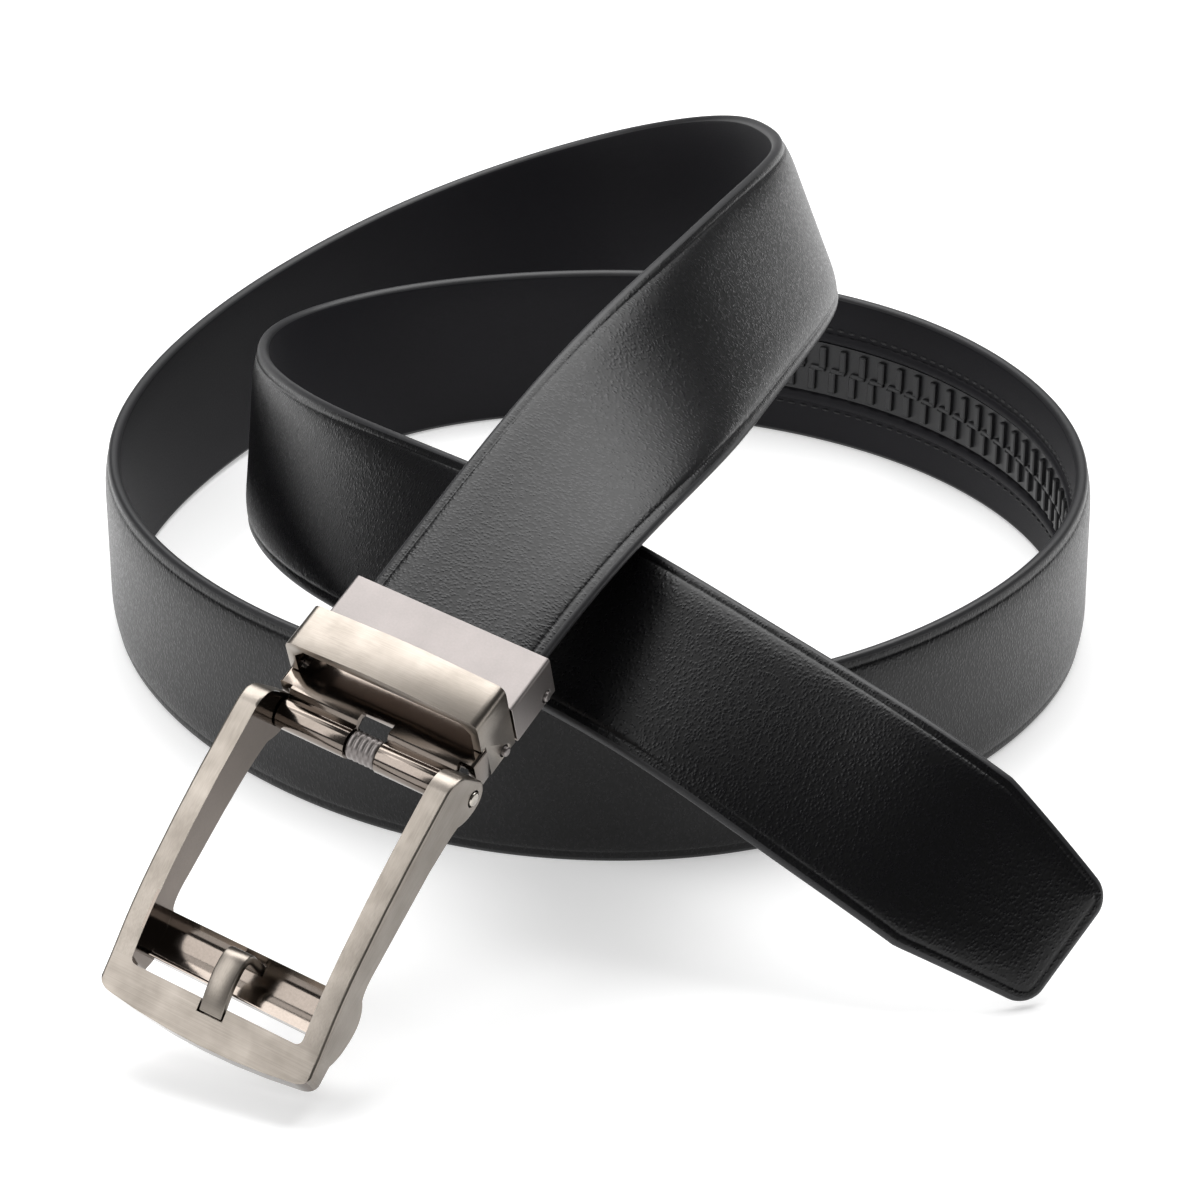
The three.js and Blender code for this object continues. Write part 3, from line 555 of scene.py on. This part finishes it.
def build_track():
    floor = -HALF + CHANNEL_DEPTH - 0.02
    top = floor - TRACK_BASE
    steps = np.linspace(TRACK_START, TRACK_START + TRACK_LENGTH, 91)
    section = np.array([(-1, floor), (-1, top), (1, top), (1, floor)])
    rings = [on_strap(steps, np.full(91, TRACK_WIDTH / 2 * x), np.full(91, v)) for x, v in section]
    base = np.stack(rings, 1).reshape(-1, 3)
    numbers = np.arange(len(base)).reshape(-1, 4)
    parts = [(base, skin(numbers) + [numbers[0, ::-1].tolist(), numbers[-1].tolist()])]
    pitches = int(TRACK_LENGTH / TOOTH_PITCH) - 1
    for k in range(2 * pitches):
        centre = TRACK_START + (k / 2 + 0.8) * TOOTH_PITCH
        row = 1 if k % 2 == 0 else -1
        reach = sorted((row * 0.35, row * TOOTH_REACH))
        parts.append(block_on_strap(centre, TOOTH_LENGTH, *reach, top, top - TOOTH_HEIGHT, 0.25))
        if k + 1 < 2 * pitches and row == 1:
            middle = centre + TOOTH_PITCH / 4
            parts.append(block_on_strap(
                middle, TOOTH_PITCH / 2 + TOOTH_LENGTH * 0.6, -BRIDGE / 2, BRIDGE / 2, top, top - TOOTH_HEIGHT * 0.8, 0.2))
    points, faces = joined(parts)
    track = piece("track_strip", points, faces, [moulded()], "belt")
    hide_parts("ratchet_track")
    print("track faces", len(faces))
    return tidy_normals(track)


track = build_track()

# %% [markdown]
# ## The sewn lining folds
# The track is held by two folded edges of the lining, which stand up as low soft ridges beside it,
# and a lockstitch in dark thread runs just outside each fold. A fold is a low half-round strip that
# sinks into the lining at both ends. A stitch is a short thread that dives into the leather at both
# ends, so each one is a small bowed tube.

# %% Folds and stitches
FOLD_PLACE = 7.5
FOLD_HALF = 1.2
FOLD_HEIGHT = 0.75
STITCH_PLACE = 9.6
STITCH_PITCH = 3.0
STITCH_LENGTH = 2.3
THREAD = 0.5
LINING_FACE = -HALF


def build_fold(side):
    steps = np.linspace(TRACK_START - 3, TRACK_START + TRACK_LENGTH + 3, 140)
    swell = np.clip(np.minimum(steps - steps[0], steps[-1] - steps) / 4, 0, 1)
    height = FOLD_HEIGHT * np.sqrt(1 - (1 - swell) ** 2)
    arc = np.linspace(0, math.pi, 9)
    rings = np.stack([
        on_strap(steps, np.full(140, side * FOLD_PLACE + FOLD_HALF * math.cos(a)),
                 LINING_FACE + 0.1 - (height + 0.1) * math.sin(a))
        for a in arc
    ], 1)
    numbers = np.arange(140 * 9).reshape(-1, 9)
    faces = skin(numbers) + [numbers[0, ::-1].tolist(), numbers[-1].tolist()]
    name = "lining_fold_left" if side < 0 else "lining_fold_right"
    fold = piece(name, rings.reshape(-1, 3), faces, [lining], "belt")
    layer = fold.data.uv_layers.new(name="mm")
    loops = np.zeros(len(fold.data.loops), int)
    fold.data.loops.foreach_get("vertex_index", loops)
    place = np.stack([np.repeat(steps, 9), np.tile(arc * FOLD_HALF, 140)], 1)
    layer.data.foreach_set("uv", place[loops].ravel())
    return tidy_normals(fold, 60)


def waxed_thread():
    material, surface = new_material("waxed_polyester_thread", Metallic=0.0, IOR=1.5, Roughness=0.6)
    place = add(material, "ShaderNodeTexCoord").outputs["Object"]
    twist = add(material, "ShaderNodeTexNoise", {"Vector": place, "Scale": 1 / (0.25 * MM), "Detail": 2})
    bump = add(material, "ShaderNodeBump", {"Height": twist.outputs[0], "Distance": 0.05 * MM})
    connect(material, bump.outputs[0], surface, "Normal")
    colour = add(material, "ShaderNodeMix", {
        "Factor": twist.outputs[0], "A": linear("#0d0d0e"), "B": linear("#232325")}, data_type="RGBA")
    connect(material, colour.outputs["Result"], surface, "Base Color")
    return material


def build_stitches():
    parts = []
    bow = np.linspace(-1, 1, 7)
    around = np.linspace(0, 2 * math.pi, 6, endpoint=False)
    for side in (-1, 1):
        for centre in np.arange(TRACK_START - 1, TRACK_START + TRACK_LENGTH + 1, STITCH_PITCH):
            along = centre + bow * STITCH_LENGTH / 2
            thick = THREAD / 2 * np.sqrt(1.05 - bow ** 2)
            depth = LINING_FACE - 0.12 * (1 - bow ** 2) + 0.2 * bow ** 2
            rings = np.stack([
                on_strap(along, side * STITCH_PLACE + thick * math.cos(a), depth + thick * math.sin(a))
                for a in around
            ], 1)
            numbers = np.arange(42).reshape(7, 6)
            faces = skin(numbers) + [numbers[0, ::-1].tolist(), numbers[-1].tolist()]
            parts.append((rings.reshape(-1, 3), faces))
    points, faces = joined(parts)
    stitches = piece("track_stitches", points, faces, [waxed_thread()], "belt")
    print("stitches", len(parts), "faces", len(faces))
    return tidy_normals(stitches, 80)


folds = [build_fold(side) for side in (-1, 1)]
stitches = build_stitches()

# %% [markdown]
# ## The buckle's own axes
# The buckle was brushed and polished as loose parts, so the marks of the wheel follow each part, not
# the room. Its axes come from the strap's first station: x across the belt, y along it and z away
# from its face. The frame hangs on the hinge pin and is folded down by a few degrees, so it has axes
# of its own. Each vertex keeps its place in those axes, in mm, and the finishes are drawn in them.

# %% Buckle axes
FRAME_FOLD = 16.5
HINGE_Y = -27.5
HINGE_Z = -1.4

mouth_at, mouth_along, mouth_across, mouth_outward = (v[0] for v in strap_stations(np.array([0.0])))
buckle_axes = Matrix.Identity(4)
for column, axis in enumerate((-mouth_across, mouth_along, mouth_outward, mouth_at + SHIFT)):
    buckle_axes.col[column].xyz = Vector(axis)
frame_axes = buckle_axes @ Matrix.Translation((0, HINGE_Y, HINGE_Z)) @ Matrix.Rotation(
    math.radians(FRAME_FOLD), 4, "X")
hinge = frame["joints"][0]
print("hinge pin in mm:", (frame_axes.translation).to_tuple(2), "joint:", hinge)

# %% [markdown]
# ## Metals
# The frame, the keeper and the prong are cast zinc, plated with nickel and brushed with a fine belt:
# long thin parallel scratches that stretch the highlight. The clamp is folded steel with a satin
# plating. The base plate, the barrels and the frame's inner walls are polished and plated with dark
# gunmetal nickel, which mirrors the room. The same dark finish stands as painted shade on the keeper's
# inside and on the clamp's tongue under the keeper. The scratches are a noise stretched along the brushing.

# %% Metal finishes
SCRATCH_WIDTH = 0.16
SCRATCH_LENGTH = 14
END_BAR_START = -49.4


def plated_metal(name, light, dark, roughness, spread, bump_depth, brushed_along=None):
    """A plated metal; brushed_along is the axis of its scratches, x or y, in the buckle's own axes."""
    material, surface = new_material(name, Metallic=1.0)
    place = add(material, "ShaderNodeAttribute", attribute_name="buckle_mm").outputs["Vector"]
    fine, coarse = 1 / SCRATCH_WIDTH, 1 / SCRATCH_LENGTH
    scale = {"x": (coarse, fine, fine), "y": (fine, coarse, fine), None: (2.5, 2.5, 2.5)}[brushed_along]
    stretched = add(material, "ShaderNodeVectorMath", {0: place, 1: scale}, operation="MULTIPLY")
    if brushed_along == "y":
        split = add(material, "ShaderNodeSeparateXYZ", {"Vector": place})
        on_end_bar = add(material, "ShaderNodeMath", {0: split.outputs["Y"], 1: END_BAR_START}, operation="LESS_THAN")
        crosswise = add(material, "ShaderNodeVectorMath", {0: place, 1: (coarse, fine, fine)}, operation="MULTIPLY")
        stretched = add(material, "ShaderNodeMix", {
            "Factor": on_end_bar.outputs[0], 4: stretched.outputs[0], 5: crosswise.outputs[0]}, data_type="VECTOR")
        stretched = add(material, "ShaderNodeVectorMath", {0: stretched.outputs[1], 1: (1, 1, 1)}, operation="MULTIPLY")
    marks = add(material, "ShaderNodeTexNoise", {"Vector": stretched.outputs[0], "Scale": 1, "Detail": 3})
    clouds = add(material, "ShaderNodeTexNoise", {"Vector": place, "Scale": 1 / 6, "Detail": 3})
    both = add(material, "ShaderNodeMath", {
        0: marks.outputs[0], 1: 0.7, 2: clouds.outputs[0]}, operation="MULTIPLY_ADD")
    contrast = add(material, "ShaderNodeMapRange", {
        "Value": both.outputs[0], "From Min": 0.55, "From Max": 1.15})
    colour = add(material, "ShaderNodeMix", {
        "Factor": contrast.outputs[0], "A": linear(dark), "B": linear(light)}, data_type="RGBA")
    connect(material, colour.outputs["Result"], surface, "Base Color")
    gloss = add(material, "ShaderNodeMapRange", {
        "Value": contrast.outputs[0], "To Min": roughness + spread, "To Max": roughness - spread})
    connect(material, gloss.outputs[0], surface, "Roughness")
    bump = add(material, "ShaderNodeBump", {"Height": marks.outputs[0], "Distance": bump_depth * MM})
    connect(material, bump.outputs[0], surface, "Normal")
    return material


brushed_y = plated_metal("brushed_nickel_lengthwise", "#968f87", "#827b73", 0.33, 0.05, 0.008, "y")
brushed_x = plated_metal("brushed_nickel_crosswise", "#968f87", "#827b73", 0.33, 0.05, 0.008, "x")
satin = plated_metal("satin_nickel", "#928c8a", "#8a8583", 0.45, 0.02, 0.002)
gunmetal_and_painted_shade = plated_metal("polished_gunmetal_nickel_and_painted_shade", "#7d746d", "#736b64", 0.13, 0.03, 0.001)
bright_edge = plated_metal("polished_nickel_edge", "#c9c3ba", "#b3ada4", 0.2, 0.04, 0.002)

# %% [markdown]
# ## Buckle parts
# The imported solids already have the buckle's true forms, but a real casting has no knife edges: each
# edge is broken by tumbling and plating, and that thin rounding catches the light. So each solid is
# copied, its flat facets are merged, and its sharp edges are bevelled. Faces are then sorted into
# finishes by the way they look in the part's own axes.

# %% Buckle parts


def dressed(node, body, axes, soften, finishes, zone=lambda normal, centre: 0, steps=2, fine_edge=None,
            cuts=(), flat=False):
    """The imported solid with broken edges. zone picks a face's finish from its normal and centre in
    the part's axes, and fine_edge picks the edges that get a narrow bright chamfer, the last finish."""
    into_part = axes.inverted()
    turn = into_part.to_3x3()
    form = bmesh.new()
    form.from_mesh(frame["nodes"][node].data)
    bmesh.ops.remove_doubles(form, verts=form.verts, dist=3e-6)
    bmesh.ops.dissolve_limit(form, angle_limit=math.radians(2), verts=form.verts, edges=form.edges)
    for place, direction in cuts:
        bmesh.ops.bisect_plane(
            form, geom=form.verts[:] + form.edges[:] + form.faces[:], dist=1e-6,
            plane_co=axes @ Vector(place) * MM, plane_no=axes.to_3x3() @ Vector(direction))
    form.normal_update()
    sharp = [e for e in form.edges if e.is_manifold and e.calc_face_angle() > math.radians(32)]
    for face in form.faces:
        face.material_index = zone(turn @ face.normal, into_part @ (face.calc_center_median() / MM))
    narrow = []
    if fine_edge:
        narrow = [e for e in sharp if fine_edge(
            into_part @ ((e.verts[0].co + e.verts[1].co) / 2 / MM), [turn @ f.normal for f in e.link_faces])]
        sharp = [e for e in sharp if e not in set(narrow)]
    bevel = {"offset_type": "OFFSET", "profile": 0.5, "affect": "EDGES", "clamp_overlap": True, "loop_slide": True}
    if narrow:
        bmesh.ops.bevel(form, geom=narrow, offset=FINE_CHAMFER * MM, segments=1,
                        material=len(finishes) - 1, **bevel)
        sharp = [e for e in sharp if e.is_valid]
    bmesh.ops.bevel(form, geom=sharp, offset=soften * MM, segments=steps, material=-1, **bevel)
    mesh = bpy.data.meshes.new(node + "_dressed")
    form.to_mesh(mesh)
    form.free()
    points = np.array([into_part @ (v.co / MM) for v in mesh.vertices])
    mesh.attributes.new("buckle_mm", "FLOAT_VECTOR", "POINT").data.foreach_set("vector", points.ravel())
    for finish in finishes:
        mesh.materials.append(finish)
    mesh.polygons.foreach_set("use_smooth", [True] * len(mesh.polygons))
    mesh.set_sharp_from_angle(angle=math.radians(40))
    thing = bpy.data.objects.new(node + "_dressed", mesh)
    if flat:
        thing.modifiers.new("flat_faces", "WEIGHTED_NORMAL").keep_sharp = True
    scene.collection.objects.link(thing)
    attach(thing, body)
    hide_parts(node)
    print(node, "faces", len(mesh.polygons), "fine edges", len(narrow))
    return thing


FRAME_INSIDE = 17.1
KEEPER_INSIDE = 17.6
CLAMP_END = -12.1
WINDOW_CUTS = [((0, END_BAR_START, 0), (0, 1, 0)), ((-FRAME_INSIDE, 0, 0), (1, 0, 0)), ((FRAME_INSIDE, 0, 0), (1, 0, 0))]
CROSS_BAR = (-46.9, -37.9)
FINE_CHAMFER = 0.22


def frame_zone(normal, centre):
    """0 is brushed and 1 is dark and polished: the window's walls, the cross bar and the underside."""
    on_cross_bar = abs(centre.x) < FRAME_INSIDE and CROSS_BAR[0] < centre.y < CROSS_BAR[1]
    if normal.z > 0.35 and not on_cross_bar:
        return 0
    in_window = abs(centre.x) < FRAME_INSIDE + 0.15 and centre.y > END_BAR_START - 0.6
    return 1 if in_window or normal.z < -0.5 or normal.y < -0.7 else 0


def clamp_zone(normal, centre):
    """0 is the satin channel, and 1 is its tongue under the keeper, given the dark polished finish as painted shade."""
    return 1 if centre.y < CLAMP_END else 0


def keeper_zone(normal, centre):
    """0 is the brushed bar and sides, and 1 is the inside that the strap's end passes, given the dark polished finish
    as painted shade.
    """
    inward = (normal.x * centre.x < 0 and normal.z < 0.3) or normal.z < -0.3
    return 1 if inward and abs(centre.x) < KEEPER_INSIDE + 0.2 else 0


def window_rim(centre, normals):
    """The edge between the frame's face and the walls of its window."""
    faces_up = max(n.z for n in normals) > 0.7 > 0.5 > min(n.z for n in normals)
    return faces_up and abs(centre.x) < FRAME_INSIDE + 0.2 and centre.y > END_BAR_START - 0.5 and not (
        CROSS_BAR[0] < centre.y < CROSS_BAR[1] and abs(centre.x) < FRAME_INSIDE - 0.2)


# The clamp's tongue under the keeper gets the dark polished finish as painted shade.
dressed("end_clamp", "belt", buckle_axes, 0.28, [satin, gunmetal_and_painted_shade],
        clamp_zone, steps=3, flat=True)
dressed("clamp_jaw", "belt", buckle_axes, 0.2, [gunmetal_and_painted_shade])
dressed("clamp_pin", "belt", buckle_axes, 0.3, [satin], steps=3)
# The keeper's inside gets the dark polished finish as painted shade.
dressed("keeper_loop", "belt", buckle_axes, 0.3, [brushed_x, gunmetal_and_painted_shade],
        keeper_zone, steps=3)
dressed("housing_pin", "belt", buckle_axes, 0.3, [satin], steps=3)
dressed("base_plate", "belt", buckle_axes, 0.25, [gunmetal_and_painted_shade], steps=3)
dressed("hinge_pin", "belt", buckle_axes, 0.3, [bright_edge], steps=3)
dressed("notch_roller", "belt", buckle_axes, 0.12, [satin])
dressed("frame", "buckle_frame", frame_axes, 0.45, [brushed_y, gunmetal_and_painted_shade, bright_edge],
        frame_zone, steps=3, fine_edge=window_rim, cuts=WINDOW_CUTS, flat=True)
dressed("prong", "buckle_frame", frame_axes, 0.25, [brushed_y], steps=3)

# %% [markdown]
# ## Floor and light
# The belt was photographed on a white sweep under large soft lamps, so its shadows are short and
# faint. A wide matt floor with a little glow of its own gives that, with one large soft box above and
# behind the belt, a tall one at the front left and a small dim one at the left, in a dim, even room.

# %% Floor
FLOOR_HALF = 3000


def paper_floor():
    material, surface = new_material(
        "matt_white_paper", Metallic=0.0, IOR=1.4, Roughness=0.9, Emission_Color=(1, 1, 1, 1), Emission_Strength=0.44)
    place = add(material, "ShaderNodeTexCoord").outputs["Object"]
    fibres = add(material, "ShaderNodeTexNoise", {"Vector": place, "Scale": 1 / (1.5 * MM), "Detail": 3})
    colour = add(material, "ShaderNodeMix", {
        "Factor": fibres.outputs[0], "A": linear("#dedede"), "B": linear("#e4e4e4")}, data_type="RGBA")
    connect(material, colour.outputs["Result"], surface, "Base Color")
    return material


floor_mesh = bpy.data.meshes.new("floor")
floor_mesh.from_pydata([(x * FLOOR_HALF * MM, y * FLOOR_HALF * MM, 0) for x, y in ((-1, -1), (1, -1), (1, 1), (-1, 1))],
                       [], [(0, 1, 2, 3)])
floor_mesh.materials.append(paper_floor())
floor = bpy.data.objects.new("floor", floor_mesh)
scene.collection.objects.link(floor)

# %% Light
KEY_LAMP = {"azimuth": 15, "height": 66, "away": 1.3, "width": 1.6, "length": 1.2, "brightness": 4.8}
SIDE_LAMP = {"azimuth": -124, "height": 36, "away": 1.3, "width": 0.6, "length": 1.2, "brightness": 3.0}
FILL_LAMP = {"azimuth": -95, "height": 64, "away": 1.3, "width": 0.5, "length": 0.5, "brightness": 1.8}
ROOM_BRIGHTNESS = 0.07


def soft_box(name, azimuth, height, away, width, length, brightness):
    """A cloth box lamp that faces the belt; azimuth 0 is behind it, and brightness 1 is white paper."""
    lamp = bpy.data.lights.new(name, "AREA")
    lamp.shape = "RECTANGLE"
    lamp.size, lamp.size_y = width, length
    lamp.energy = brightness * math.pi * width * length
    turn, rise = math.radians(azimuth), math.radians(height)
    place = Vector((math.sin(turn) * math.cos(rise), math.cos(turn) * math.cos(rise), math.sin(rise))) * away
    thing = bpy.data.objects.new(name, lamp)
    scene.collection.objects.link(thing)
    thing.location = place
    thing.rotation_euler = (-place).to_track_quat("-Z", "Y").to_euler()
    return thing


room = bpy.data.worlds.new("dim_studio")
room.use_nodes = True
room.node_tree.nodes.clear()
glow = add(room, "ShaderNodeBackground", {"Color": (1, 1, 1, 1), "Strength": ROOM_BRIGHTNESS})
add(room, "ShaderNodeOutputWorld", {"Surface": glow.outputs[0]})
scene.world = room
soft_box("key_lamp", **KEY_LAMP)
soft_box("side_lamp", **SIDE_LAMP)
soft_box("fill_lamp", **FILL_LAMP)
scene.view_settings.view_transform = "Standard"
